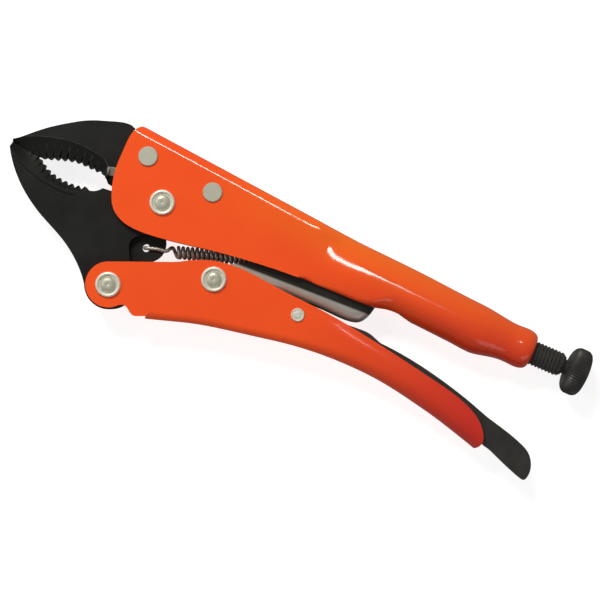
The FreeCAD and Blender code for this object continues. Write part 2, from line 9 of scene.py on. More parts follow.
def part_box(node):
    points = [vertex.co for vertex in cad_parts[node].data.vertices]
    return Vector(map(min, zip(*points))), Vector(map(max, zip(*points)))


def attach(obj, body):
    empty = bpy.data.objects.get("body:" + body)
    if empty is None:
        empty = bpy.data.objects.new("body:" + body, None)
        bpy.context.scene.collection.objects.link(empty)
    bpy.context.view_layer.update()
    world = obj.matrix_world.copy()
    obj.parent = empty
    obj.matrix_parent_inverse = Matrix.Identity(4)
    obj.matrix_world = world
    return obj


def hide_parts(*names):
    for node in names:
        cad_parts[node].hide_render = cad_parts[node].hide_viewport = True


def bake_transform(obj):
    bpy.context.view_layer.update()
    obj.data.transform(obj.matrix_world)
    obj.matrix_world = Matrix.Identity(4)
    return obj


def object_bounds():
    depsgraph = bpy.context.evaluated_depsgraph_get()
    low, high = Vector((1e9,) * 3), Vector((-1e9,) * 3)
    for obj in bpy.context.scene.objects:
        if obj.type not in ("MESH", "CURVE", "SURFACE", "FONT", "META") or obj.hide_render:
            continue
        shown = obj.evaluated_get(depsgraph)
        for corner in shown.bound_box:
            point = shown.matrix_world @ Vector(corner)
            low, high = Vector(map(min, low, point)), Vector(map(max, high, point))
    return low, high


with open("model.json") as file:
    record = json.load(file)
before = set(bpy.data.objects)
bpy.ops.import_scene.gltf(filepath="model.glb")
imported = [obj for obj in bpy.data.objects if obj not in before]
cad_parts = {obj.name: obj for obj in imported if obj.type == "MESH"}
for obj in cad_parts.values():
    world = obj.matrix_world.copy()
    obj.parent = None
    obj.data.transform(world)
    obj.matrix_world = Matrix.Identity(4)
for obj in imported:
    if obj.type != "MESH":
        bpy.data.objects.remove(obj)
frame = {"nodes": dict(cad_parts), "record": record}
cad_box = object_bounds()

MM = 0.001
SAME_POINT = 0.00001          # points nearer than this are merged, in metres
nodes = frame["nodes"]


# ---- places read from the frame ----
def centre(node):
    low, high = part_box(node)
    return (Vector(low) + Vector(high)) / 2


MID = centre("jaw_pivot_rivet").z


# ---- shader building blocks ----
def new_group(name, inputs, outputs):
    """An empty shader node group with named float or colour sockets."""
    group = bpy.data.node_groups.new(name, "ShaderNodeTree")
    kinds = {"value": "NodeSocketFloat", "colour": "NodeSocketColor", "vector": "NodeSocketVector"}
    for label, kind, default in inputs:
        socket = group.interface.new_socket(name=label, in_out="INPUT", socket_type=kinds[kind])
        if kind != "vector":
            socket.default_value = default
    for label, kind in outputs:
        group.interface.new_socket(name=label, in_out="OUTPUT", socket_type=kinds[kind])
    return group, group.nodes.new("NodeGroupInput"), group.nodes.new("NodeGroupOutput")


def math_node(tree, operation, *values):
    """A Math node; each of its inputs is a number or a socket."""
    node = tree.nodes.new("ShaderNodeMath")
    node.operation = operation
    for socket, value in zip(node.inputs, values):
        if isinstance(value, (int, float)):
            socket.default_value = value
        else:
            tree.links.new(value, socket)
    return node.outputs[0]


def noise(tree, vector, scale, detail, rough=0.5):
    node = tree.nodes.new("ShaderNodeTexNoise")
    tree.links.new(vector, node.inputs["Vector"])
    if isinstance(scale, (int, float)):
        node.inputs["Scale"].default_value = scale
    else:
        tree.links.new(scale, node.inputs["Scale"])
    node.inputs["Detail"].default_value = detail
    node.inputs["Roughness"].default_value = rough
    return node.outputs["Fac"]


def ramp(tree, value, low, high):
    """Value stretched so that low gives 0 and high gives 1, held at both ends."""
    node = tree.nodes.new("ShaderNodeMapRange")
    tree.links.new(value, node.inputs["Value"])
    node.inputs["From Min"].default_value = low
    node.inputs["From Max"].default_value = high
    return node.outputs["Result"]


def separate(tree, vector):
    node = tree.nodes.new("ShaderNodeSeparateXYZ")
    tree.links.new(vector, node.inputs[0])
    return node


def mix(tree, amount, first, second):
    """A colour between two others; each input is a value or a socket."""
    node = tree.nodes.new("ShaderNodeMix")
    node.data_type = "RGBA"
    for label, value in (("Factor", amount), ("A", first), ("B", second)):
        socket = node.inputs[label]
        if isinstance(value, (int, float, tuple)):
            socket.default_value = value
        else:
            tree.links.new(value, socket)
    return node.outputs["Result"]


def make_mottle():
    """Uneven colour: two colours mixed by cloudy noise, with a mask for roughness."""
    group, start, end = new_group(
        "mottle",
        [
            ("Vector", "vector", None),
            ("Colour", "colour", (1, 1, 1, 1)),
            ("Other colour", "colour", (0, 0, 0, 1)),
            ("Scale", "value", 60.0),
            ("Amount", "value", 0.5),
        ],
        [("Colour", "colour"), ("Mask", "value")],
    )
    cloud = ramp(group, noise(group, start.outputs["Vector"], start.outputs["Scale"], 5.0, 0.6), 0.35, 0.68)
    amount = math_node(group, "MULTIPLY", cloud, start.outputs["Amount"])
    colour = mix(group, amount, start.outputs["Colour"], start.outputs["Other colour"])
    group.links.new(colour, end.inputs["Colour"])
    group.links.new(cloud, end.inputs["Mask"])
    return group


def make_scratches():
    """Fine streaks: noise stretched along one direction, as a height."""
    group, start, end = new_group(
        "scratches",
        [("Vector", "vector", None), ("Scale", "value", 400.0)],
        [("Height", "value")],
    )
    mapping = group.nodes.new("ShaderNodeMapping")
    mapping.inputs["Scale"].default_value = (0.08, 1.0, 1.0)
    group.links.new(start.outputs["Vector"], mapping.inputs["Vector"])
    streaks = noise(group, mapping.outputs["Vector"], start.outputs["Scale"], 6.0, 0.65)
    group.links.new(streaks, end.inputs["Height"])
    return group


MOTTLE = make_mottle()
SCRATCHES = make_scratches()


def place_group(tree, group, vector, **values):
    node = tree.nodes.new("ShaderNodeGroup")
    node.node_tree = group
    tree.links.new(vector, node.inputs["Vector"])
    for label, value in values.items():
        node.inputs[label.replace("_", " ")].default_value = value
    return node


def new_material(name):
    """A material with its Principled shader and the Object coordinates that its patterns read."""
    material = bpy.data.materials.new(name)
    material.use_nodes = True
    tree = material.node_tree
    shader = tree.nodes["Principled BSDF"]
    where = tree.nodes.new("ShaderNodeTexCoord").outputs["Object"]
    return material, tree, shader, where


def bump(tree, shader, height, strength, distance):
    node = tree.nodes.new("ShaderNodeBump")
    node.inputs["Strength"].default_value = strength
    node.inputs["Distance"].default_value = distance
    tree.links.new(height, node.inputs["Height"])
    tree.links.new(node.outputs["Normal"], shader.inputs["Normal"])


def rough_between(tree, shader, mask, smooth, rough):
    node = tree.nodes.new("ShaderNodeMapRange")
    tree.links.new(mask, node.inputs["Value"])
    node.inputs["To Min"].default_value = smooth
    node.inputs["To Max"].default_value = rough
    tree.links.new(node.outputs["Result"], shader.inputs["Roughness"])


# painted light and painted shade: a lighter orange for the top of the handle, a deep red for its lower,
# rearward parts
PAINTED_LIGHT_ORANGE = (0.75, 0.125, 0.012, 1)
PAINTED_SHADE_RED = (0.50, 0.026, 0.016, 1)


def enamel(name, colour, other_colour):
    """Thick stoved enamel: glossy, uneven, faintly peeled, with painted light making it more orange on top
    and painted shade making it redder low down towards the rear.
    """
    material, tree, shader, where = new_material(name)
    mottle = place_group(tree, MOTTLE, where, Scale=35.0, Amount=0.5)
    mottle.inputs["Colour"].default_value = colour
    mottle.inputs["Other colour"].default_value = other_colour
    place = separate(tree, where)
    # painted shade: redder towards the rear and low down, where the handle and lever are in shade
    rearward = ramp(tree, place.outputs["X"], 0.070, 0.150)
    downward = ramp(tree, place.outputs["Y"], 0.026, -0.016)
    painted_shade = math_node(tree, "MULTIPLY", rearward, downward)
    # painted light: more orange along the top of the handle, where the light falls
    above = ramp(tree, place.outputs["Y"], 0.002, 0.016)
    painted_light = math_node(tree, "MULTIPLY", above, ramp(tree, place.outputs["X"], 0.010, 0.075))
    with_painted_light = mix(tree, painted_light, mottle.outputs["Colour"], PAINTED_LIGHT_ORANGE)
    colour = mix(tree, painted_shade, with_painted_light, PAINTED_SHADE_RED)
    tree.links.new(colour, shader.inputs["Base Color"])
    rough_between(tree, shader, mottle.outputs["Mask"], 0.34, 0.42)
    shader.inputs["Specular IOR Level"].default_value = 0.0
    shader.inputs["Coat Weight"].default_value = 1.0
    shader.inputs["Coat Roughness"].default_value = 0.10
    peel = noise(tree, where, 450.0, 2.0)
    bump(tree, shader, peel, 0.08, 0.0003)
    return material


CUTTER_FACE = (-0.0232, 0.0036, 0)
CUTTER_TURN = math.radians(18)
CUTTER_HALF = (0.0024, 0.0016)
GROUND_STEEL = (0.30, 0.31, 0.27, 1)


def black_forging():
    """Blackened forged steel, softly shining, with a fine grain and the wire cutter's face ground bright."""
    material, tree, shader, where = new_material("black_forging")
    mottle = place_group(tree, MOTTLE, where, Scale=55.0, Amount=0.6)
    mottle.inputs["Colour"].default_value = (0.0100, 0.0105, 0.0100, 1)
    mottle.inputs["Other colour"].default_value = (0.0150, 0.0155, 0.0145, 1)
    ground = tree.nodes.new("ShaderNodeMapping")
    ground.vector_type = "TEXTURE"
    ground.inputs["Location"].default_value = CUTTER_FACE
    ground.inputs["Rotation"].default_value = (0, 0, CUTTER_TURN)
    tree.links.new(where, ground.inputs["Vector"])
    across = separate(tree, ground.outputs["Vector"])
    sides = [math_node(tree, "ABSOLUTE", across.outputs[axis]) for axis in ("X", "Y")]
    inside = [ramp(tree, side, half + 0.0002, half) for side, half in zip(sides, CUTTER_HALF)]
    patch = math_node(tree, "MULTIPLY", inside[0], inside[1])
    colour = mix(tree, patch, mottle.outputs["Colour"], GROUND_STEEL)
    tree.links.new(colour, shader.inputs["Base Color"])
    rough_between(tree, shader, mottle.outputs["Mask"], 0.32, 0.42)
    shader.inputs["Specular IOR Level"].default_value = 0.30
    grain = noise(tree, where, 1500.0, 4.0)
    bump(tree, shader, grain, 0.08, 0.0002)
    return material


def rubbed_and_highlit_edge():
    """Black steel along an edge, where handling has rubbed the finish thin in places; its lighter patches are
    also a painted highlight along the edges and ridges.
    """
    material, tree, shader, where = new_material("rubbed_and_highlit_edge")
    mottle = place_group(tree, MOTTLE, where, Scale=260.0, Amount=1.0)
    mottle.inputs["Colour"].default_value = (0.045, 0.046, 0.043, 1)
    mottle.inputs["Other colour"].default_value = (0.24, 0.24, 0.22, 1)
    tree.links.new(mottle.outputs["Colour"], shader.inputs["Base Color"])
    shader.inputs["Metallic"].default_value = 0.4
    rough_between(tree, shader, mottle.outputs["Mask"], 0.36, 0.26)
    bump(tree, shader, noise(tree, where, 1500.0, 3.0), 0.1, 0.0001)
    return material


def plated(name, colour, dull_colour):
    """Zinc-plated steel with a faint yellow cast and dull patches."""
    material, tree, shader, where = new_material(name)
    mottle = place_group(tree, MOTTLE, where, Scale=420.0, Amount=0.7)
    mottle.inputs["Colour"].default_value = colour
    mottle.inputs["Other colour"].default_value = dull_colour
    tree.links.new(mottle.outputs["Colour"], shader.inputs["Base Color"])
    shader.inputs["Metallic"].default_value = 0.3
    rough_between(tree, shader, mottle.outputs["Mask"], 0.34, 0.50)
    bump(tree, shader, noise(tree, where, 2500.0, 3.0), 0.15, 0.0001)
    return material


CREASE_SLOPE = 0.045          # the link's painted shade ends along a line that rises this much for each metre of X
CREASE_LEVEL = -0.0124
LINK_PAINTED_SHADE = (0.032, 0.032, 0.027, 1)


def link_steel():
    """Bare pressed steel, drawn lengthwise, with painted shade darkening its flat wall above the crease."""
    material, tree, shader, where = new_material("link_steel")
    mottle = place_group(tree, MOTTLE, where, Scale=110.0, Amount=0.6)
    mottle.inputs["Colour"].default_value = (0.62, 0.62, 0.57, 1)
    mottle.inputs["Other colour"].default_value = (0.42, 0.42, 0.38, 1)
    place = separate(tree, where)
    # painted shade: the flat wall above the crease is darkened where the handle shades it
    crease = math_node(tree, "MULTIPLY_ADD", place.outputs["X"], CREASE_SLOPE, CREASE_LEVEL)
    shaded_strip = ramp(tree, math_node(tree, "SUBTRACT", place.outputs["Y"], crease), -0.0003, 0.0005)
    colour = mix(tree, shaded_strip, mottle.outputs["Colour"], LINK_PAINTED_SHADE)
    tree.links.new(colour, shader.inputs["Base Color"])
    shader.inputs["Metallic"].default_value = 0.45
    rough_between(tree, shader, mottle.outputs["Mask"], 0.30, 0.42)
    streaks = place_group(tree, SCRATCHES, where, Scale=900.0)
    bump(tree, shader, streaks.outputs["Height"], 0.12, 0.0002)
    return material


def black_steel():
    """Black-oxide steel, evener than the forgings."""
    material, tree, shader, where = new_material("black_steel")
    mottle = place_group(tree, MOTTLE, where, Scale=140.0, Amount=0.7)
    mottle.inputs["Colour"].default_value = (0.030, 0.0305, 0.029, 1)
    mottle.inputs["Other colour"].default_value = (0.044, 0.045, 0.042, 1)
    tree.links.new(mottle.outputs["Colour"], shader.inputs["Base Color"])
    rough_between(tree, shader, mottle.outputs["Mask"], 0.36, 0.50)
    bump(tree, shader, noise(tree, where, 1800.0, 3.0), 0.15, 0.0001)
    return material


def spring_wire():
    """Drawn spring wire, bright with faint lengthwise marks."""
    material, tree, shader, where = new_material("spring_wire")
    mottle = place_group(tree, MOTTLE, where, Scale=500.0, Amount=0.6)
    mottle.inputs["Colour"].default_value = (0.44, 0.44, 0.40, 1)
    mottle.inputs["Other colour"].default_value = (0.26, 0.26, 0.23, 1)
    tree.links.new(mottle.outputs["Colour"], shader.inputs["Base Color"])
    shader.inputs["Metallic"].default_value = 0.4
    rough_between(tree, shader, mottle.outputs["Mask"], 0.22, 0.36)
    bump(tree, shader, noise(tree, where, 3000.0, 3.0), 0.1, 0.0001)
    return material


FINISHES = {
    "orange_enamel": enamel("orange_enamel", (0.80, 0.082, 0.013, 1), (0.74, 0.066, 0.011, 1)),
    "black_forging": black_forging(),
    "bright_rivet": plated("bright_rivet", (0.66, 0.67, 0.56, 1), (0.52, 0.53, 0.43, 1)),
    "link_steel": link_steel(),
    "black_steel": black_steel(),
    "spring_wire": spring_wire(),
}
# rubbed wear on the edges, and a painted highlight along the jaws' edges and ridges
RUBBED_AND_HIGHLIT_EDGE = rubbed_and_highlit_edge()
POLISHED_RING = plated("polished_ring", (0.92, 0.91, 0.82, 1), (0.78, 0.78, 0.68, 1))
# painted highlight: a lighter enamel on the rounded edges, standing in for the light along them
EDGE_HIGHLIGHT_ENAMEL = enamel("edge_highlight_enamel", (0.88, 0.17, 0.055, 1), (0.82, 0.13, 0.035, 1))


def finish_cad_nodes():
    """Every carried-over node gets the finish that the record names for it, save the rings, which get the
    polished ring finish.
    """
    slots = {part["node"]: part["material_slot"] for part in frame["record"]["subparts"]}
    for name, node in nodes.items():
        for slot in node.material_slots:
            slot.material = POLISHED_RING if "_ring_" in name else FINISHES[slots[name]]


finish_cad_nodes()


# ---- rounded copies of the pressed and forged pieces ----
def select_only(piece):
    bpy.ops.object.select_all(action="DESELECT")
    piece.select_set(True)
    bpy.context.view_layer.objects.active = piece


def apply_modifier(piece, kind, **settings):
    select_only(piece)
    modifier = piece.modifiers.new(kind.lower(), kind)
    for label, value in settings.items():
        setattr(modifier, label, value)
    bpy.ops.object.modifier_apply(modifier=modifier.name)


# sizes in millimetres
CREST_Y = 3.8                 # the rolled handle is fullest along this line
CREST_ABOVE, CREST_BELOW = 36, 46
GRIP_START, GRIP_FULL = 61.0, 74.0
GRIP_FADE, GRIP_END = 128.0, 146.0
GRIP_FALL = 2.4               # the most that the handle's sides fall
TUBE_HALF = 9.85
NOSE_TIP, NOSE_INNER = -65.5, -53.2
NOSE_LEVEL, NOSE_SLOPE = -1.96, -0.104
NOSE_GAP = 0.34
NOSE_TOUCH = 0.3              # points this near to the line where the noses meet are moved
NOSE_PLAIN = 0.5              # faces this near to it keep the plain finish
LEVER_SLANT = 0.18            # the lever's cuts fall this much for each millimetre of X
LEVER_START, LEVER_FULL = 60.0, 100.0
LEVER_MIDDLE = -23.2
LEVER_ARCH_X, LEVER_ARCH = 75.0, 0.0019
LEVER_FLAT = 1.5
LEVER_ROUND = 26
LEVER_FALL = 1.6
LEVER_HALF = 9.0


def eased(value, low, high):
    """0 before low and 1 after high, with a soft start and end between them."""
    share = min(max((value - low) / (high - low), 0), 1)
    return share * share * (3 - 2 * share)


def scored(piece, cuts, beyond):
    """Cuts the faces that reach past X = beyond along planes, so that there are points enough to move."""
    select_only(piece)
    bpy.ops.object.mode_set(mode="EDIT")
    for place, normal in cuts:
        bpy.ops.mesh.select_all(action="DESELECT")
        mesh = bmesh.from_edit_mesh(piece.data)
        for face in mesh.faces:
            if max(vertex.co.x for vertex in face.verts) > beyond * MM:
                face.select_set(True)
        bmesh.update_edit_mesh(piece.data)
        bpy.ops.mesh.bisect(plane_co=[value * MM for value in place], plane_no=normal)
    bpy.ops.object.mode_set(mode="OBJECT")


def handle_crown(piece):
    """Rounds the rolled part of the handle: its sides fall away from a crest line instead of staying flat."""
    cuts = [((x, 0, 0), (1, 0, 0)) for x in range(60, 150, 4)]
    cuts += [((0, y, 0), (0, 1, 0)) for y in range(-4, 17)]
    scored(piece, cuts, 59)
    for vertex in piece.data.vertices:
        x, y, z = vertex.co.x / MM, vertex.co.y / MM, (vertex.co.z - MID) / MM
        share = eased(x, GRIP_START, GRIP_FULL)
        fade = min(max((GRIP_END - x) / (GRIP_END - GRIP_FADE), 0), 1)
        fall = (y - CREST_Y) ** 2 / (CREST_ABOVE if y > CREST_Y else CREST_BELOW)
        outer = abs(z) / TUBE_HALF
        vertex.co.z -= math.copysign(min(fall, GRIP_FALL) * share * fade * outer, z) * MM


def lever_crown(piece):
    """Rounds the gripped half of the lever: its sides fall away from the line halfway up it."""
    cuts = [((x, 0, 0), (1, 0, 0)) for x in range(58, 160, 4)]
    cuts += [((0, level, 0), (LEVER_SLANT, 1, 0)) for level in range(-22, 14)]
    scored(piece, cuts, 57)
    for vertex in piece.data.vertices:
        x, y, z = vertex.co.x / MM, vertex.co.y / MM, (vertex.co.z - MID) / MM
        share = eased(x, LEVER_START, LEVER_FULL)
        middle = LEVER_MIDDLE - LEVER_ARCH * (x - LEVER_ARCH_X) ** 2
        fall = max(abs(y - middle) - LEVER_FLAT, 0) ** 2 / LEVER_ROUND
        outer = min(abs(z) / LEVER_HALF, 1)
        vertex.co.z -= math.copysign(min(fall, LEVER_FALL) * share * outer, z) * MM


def off_nose_line(place):
    """How far a point, in millimetres, lies above or below the line along which the jaws' noses meet."""
    return abs(place.y - NOSE_LEVEL - NOSE_SLOPE * (place.x - NOSE_TIP))


def close_nose(piece):
    """Brings the lower jaw's nose up until the two jaws meet along it."""
    for vertex in piece.data.vertices:
        place = vertex.co / MM
        if place.x < NOSE_INNER and off_nose_line(place) < NOSE_TOUCH:
            vertex.co.y += NOSE_GAP * MM


def softened(node, name, body, finish, width, edge=None, shape=None, sharper_than=28):
    """A copy of a CAD node with its flats merged and its sharp edges rounded over.

    The rounded edges get their own finish if one is given, except along the line where the jaws' noses meet.
    """
    mesh = nodes[node].data.copy()
    piece = bpy.data.objects.new(name, mesh)
    bpy.context.scene.collection.objects.link(piece)
    select_only(piece)
    bpy.ops.object.mode_set(mode="EDIT")
    bpy.ops.mesh.select_all(action="SELECT")
    if mesh.has_custom_normals:
        bpy.ops.mesh.customdata_custom_splitnormals_clear()
    bpy.ops.mesh.remove_doubles(threshold=SAME_POINT)
    bpy.ops.mesh.dissolve_limited(angle_limit=math.radians(1.0), delimit=set())
    bpy.ops.object.mode_set(mode="OBJECT")
    if shape:
        shape(piece)
    mesh.materials.clear()
    mesh.materials.append(FINISHES[finish])
    if edge:
        mesh.materials.append(edge)
    apply_modifier(
        piece, "BEVEL", width=width * MM, segments=2, limit_method="ANGLE",
        angle_limit=math.radians(sharper_than), use_clamp_overlap=True, material=1 if edge else -1,
    )
    for face in piece.data.polygons:
        place = face.center / MM
        if place.x < NOSE_INNER + 2 and off_nose_line(place) < NOSE_PLAIN:
            face.material_index = 0
    select_only(piece)
    bpy.ops.object.shade_smooth_by_angle(angle=math.radians(50))
    apply_modifier(piece, "WEIGHTED_NORMAL", weight=50 if shape else 100, keep_sharp=True)
    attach(piece, body)
    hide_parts(node)
    return piece


# the handle's and lever's rounded edges carry the enamel's painted highlight
handle_shell = softened(
    "main_handle", "handle_shell", "main_frame", "orange_enamel", 0.45, EDGE_HIGHLIGHT_ENAMEL, handle_crown
)
lever_shell = softened("lower_lever", "lever_shell", "lever", "orange_enamel", 0.45, EDGE_HIGHLIGHT_ENAMEL, lever_crown)
# the jaws' ridges are bevelled as well, so that they carry the rubbed edge's painted highlight
softened("fixed_jaw", "upper_jaw", "main_frame", "black_forging", 0.3, RUBBED_AND_HIGHLIT_EDGE, sharper_than=14)
softened("moving_jaw", "lower_jaw", "moving_jaw", "black_forging", 0.3, RUBBED_AND_HIGHLIT_EDGE, close_nose, 14)
softened("release_lever", "release_trigger", "release_lever", "black_steel", 0.5, RUBBED_AND_HIGHLIT_EDGE)
softened("toggle_link", "pressed_link", "toggle_link", "link_steel", 0.25)


# ---- helpers for pieces modelled from primitives ----
def finished(piece, name, body, finish, *stands_for):
    """Names a piece, puts its place into its mesh, and says what it rides on, if one body, and stands for."""
    select_only(piece)
    bpy.ops.object.transform_apply(location=True, rotation=True, scale=True)
    piece.name = name
    piece.data.materials.clear()
    piece.data.materials.append(FINISHES[finish])
    if body:
        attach(piece, body)
    if stands_for:
        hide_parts(*stands_for)
    return piece


def join(pieces):
    bpy.ops.object.select_all(action="DESELECT")
    for piece in pieces:
        piece.select_set(True)
    bpy.context.view_layer.objects.active = pieces[0]
    bpy.ops.object.join()
    return pieces[0]


def edge_line(points):
    """A mesh with one open line of edges through the points, made by extruding a single vertex."""
    bpy.ops.object.select_all(action="DESELECT")
    bpy.ops.mesh.primitive_plane_add(size=0.001)
    bpy.ops.object.mode_set(mode="EDIT")
    bpy.ops.mesh.merge(type="CENTER")
    bpy.ops.transform.translate(value=points[0])
    for here, there in zip(points, points[1:]):
        step = Vector(there) - Vector(here)
        bpy.ops.mesh.extrude_vertices_move(TRANSFORM_OT_translate={"value": step})
    bpy.ops.object.mode_set(mode="OBJECT")
    return bpy.context.object


def close_up(piece):
    """Merges a piece's doubled points and turns its faces outwards."""
    select_only(piece)
    bpy.ops.object.mode_set(mode="EDIT")
    bpy.ops.mesh.select_all(action="SELECT")
    bpy.ops.mesh.remove_doubles(threshold=SAME_POINT)
    bpy.ops.mesh.normals_make_consistent(inside=False)
    bpy.ops.object.mode_set(mode="OBJECT")


def turned(profile, steps=96):
    """The (radius, along) profile swept round Z, as on a lathe, with its seam and poles merged."""
    piece = edge_line([(radius * MM, 0, along * MM) for radius, along in profile])
    apply_modifier(
        piece, "SCREW", axis="Z", angle=math.tau, steps=steps, render_steps=steps,
        use_merge_vertices=True, merge_threshold=SAME_POINT, use_normal_calculate=True,
    )
    close_up(piece)
    return piece


def lay_along(piece, start, end):
    """Turns a piece that was made along Z so that it runs from start towards end."""
    piece.location = Vector(start)
    piece.rotation_euler = (Vector(end) - Vector(start)).to_track_quat("Z", "Y").to_euler()


def smooth_by_angle(piece, degrees):
    select_only(piece)
    bpy.ops.object.shade_smooth_by_angle(angle=math.radians(degrees))


# ---- spring ----
# places in metres, sizes in millimetres
SPRING_FROM = Vector((0.0132, -0.0159, MID))
SPRING_TO = Vector((0.0675, 0.0022, MID))
EAR = Vector((0.00075, -0.0194, MID))
TAB = Vector((0.077, 0.0070, MID))
COIL_R = 2.05
WIRE_R = 0.75
COIL_PITCH = 1.9


def wire(name, points):
    """A bent wire through the points, as a bevelled curve made into a mesh."""
    curve = bpy.data.curves.new(name, "CURVE")
    curve.dimensions = "3D"
    curve.bevel_depth = WIRE_R * MM
    curve.bevel_resolution = 4
    curve.resolution_u = 10
    curve.use_fill_caps = True
    line = curve.splines.new("NURBS")
    line.points.add(len(points) - 1)
    for point, place in zip(line.points, points):
        point.co = (*place, 1)
    line.use_endpoint_u = True
    line.order_u = 3
    piece = bpy.data.objects.new(name, curve)
    bpy.context.scene.collection.objects.link(piece)
    select_only(piece)
    bpy.ops.object.convert(target="MESH")
    return bpy.context.object


def spring():
    """A wound extension spring: a small circle swept in a helix, with a wire hook at each end."""
    length = (SPRING_TO - SPRING_FROM).length
    along = (SPRING_TO - SPRING_FROM).normalized()
    turns = int(length / MM / COIL_PITCH)
    bpy.ops.object.select_all(action="DESELECT")
    bpy.ops.mesh.primitive_circle_add(
        vertices=12, radius=WIRE_R * MM, location=(COIL_R * MM, 0, 0), rotation=(math.radians(90), 0, 0)
    )
    coil = bpy.context.object
    bpy.ops.object.transform_apply(location=True, rotation=True, scale=True)
    apply_modifier(
        coil, "SCREW", axis="Z", angle=math.tau, screw_offset=COIL_PITCH * MM, iterations=turns, steps=24,
        render_steps=24, use_normal_calculate=True,
    )
    lay_along(coil, SPRING_FROM, SPRING_TO)
    select_only(coil)
    bpy.ops.object.transform_apply(location=True, rotation=True, scale=True)
    up = Vector((0, 0, 1))
    side = up.cross(along).normalized()
    coil_end = SPRING_FROM + along * turns * COIL_PITCH * MM
    r = COIL_R * MM
    over = 0.0026
    front = wire("front hook", [
        SPRING_FROM - side * r + along * 0.0008,
        SPRING_FROM - side * r - up * r * 0.9 - along * 0.0002,
        SPRING_FROM - side * r * 0.1 - up * r * 1.1 - along * 0.0012,
        SPRING_FROM + side * r * 0.9 - up * r * 0.5 - along * 0.0022,
        SPRING_FROM + side * r * 0.7 + up * r * 0.8 - along * 0.0030,
        SPRING_FROM - side * 0.0002 + up * over - along * 0.0046,
        EAR + along * 0.0056 + up * over,
        EAR + along * 0.0020 + up * over,
        EAR + up * 0.0025 - along * 0.0003,
        EAR - along * 0.0007,
        EAR - up * 0.0025 - along * 0.0003,
        EAR + along * 0.0012 - up * 0.0028,
        EAR + along * 0.0032 - up * 0.0026,
    ])
    rear = wire("rear hook", [
        coil_end + side * r,
        coil_end + side * r * 0.8 + up * r * 0.8 + along * 0.0008,
        coil_end + up * r * 0.3 + along * 0.0026,
        TAB - along * 0.0026 + Vector((0, -0.0006, 0)),
        TAB - along * 0.0004,
        TAB + along * 0.0020,
        TAB + along * 0.0022 - up * 0.0016,
    ])
    return join([coil, front, rear])


spring_piece = finished(spring(), "wound_spring", None, "spring_wire", "tension_spring")
smooth_by_angle(spring_piece, 40)
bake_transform(spring_piece)


# ---- adjuster ----
SCREW_LOW, SCREW_HIGH = (Vector(corner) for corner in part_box("adjusting_screw"))
KNOB_LOW, KNOB_HIGH = (Vector(corner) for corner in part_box("adjusting_knob"))
THREAD_PITCH = 1.5
THREAD_ROOT = 4.6
THREAD_CREST = 5.0
CORE = THREAD_ROOT - 0.02     # the plain ends of the rod, just under the thread
KNOB_FACE = KNOB_LOW.x / MM
KNOB_END = KNOB_HIGH.x / MM
KNOB_R = (KNOB_HIGH.z - KNOB_LOW.z) / 2 / MM
AXIS_Y = (SCREW_LOW.y + SCREW_HIGH.y) / 2
KNURL_LINES = 108
KNURL_INNER = 8.2             # the knurl's grooves lie outside this radius
KNURL_END = 7.8               # and end this far along the knob
KNURL_DRAW = 0.955            # they are drawn in to this share of it


def threaded_rod():
    """A rod with a true helical thread, a chamfered tip and the neck that the knob is pressed on."""
    tip = SCREW_LOW.x / MM
    turns = int((KNOB_FACE - tip - 3.4) / THREAD_PITCH)
    quarter = THREAD_PITCH / 4
    profile = [
        (THREAD_ROOT, 0), (THREAD_ROOT, quarter * 0.5), (THREAD_CREST, quarter * 1.5),
        (THREAD_CREST, quarter * 2.3), (THREAD_ROOT, quarter * 3.4), (THREAD_ROOT, THREAD_PITCH),
    ]
    thread = edge_line([(radius * MM, 0, along * MM) for radius, along in profile])
    apply_modifier(
        thread, "SCREW", axis="Z", angle=math.tau, screw_offset=THREAD_PITCH * MM, iterations=turns, steps=40,
        render_steps=40, use_normal_calculate=True,
    )
    close_up(thread)
    thread.location.z = 1.4 * MM
    nose = turned([(0, 0), (3.2, 0), (CORE, 1.3), (CORE, 3.4), (2.5, 3.6)])
    end = KNOB_FACE - tip
    shank = turned([
        (2.5, end - 6.0), (CORE, end - 5.5), (CORE, end - 1.2), (3.9, end - 0.6), (3.9, end - 0.3),
        (3.0, end - 0.3), (3.0, end + 2.0), (0, end + 2.0),
    ])
    rod = join([thread, nose, shank])
    lay_along(rod, (SCREW_LOW.x, AXIS_Y, MID), (SCREW_HIGH.x, AXIS_Y, MID))
    return rod


rod = finished(threaded_rod(), "threaded_rod", "adjusting_screw", "black_steel", "adjusting_screw")
smooth_by_angle(rod, 30)


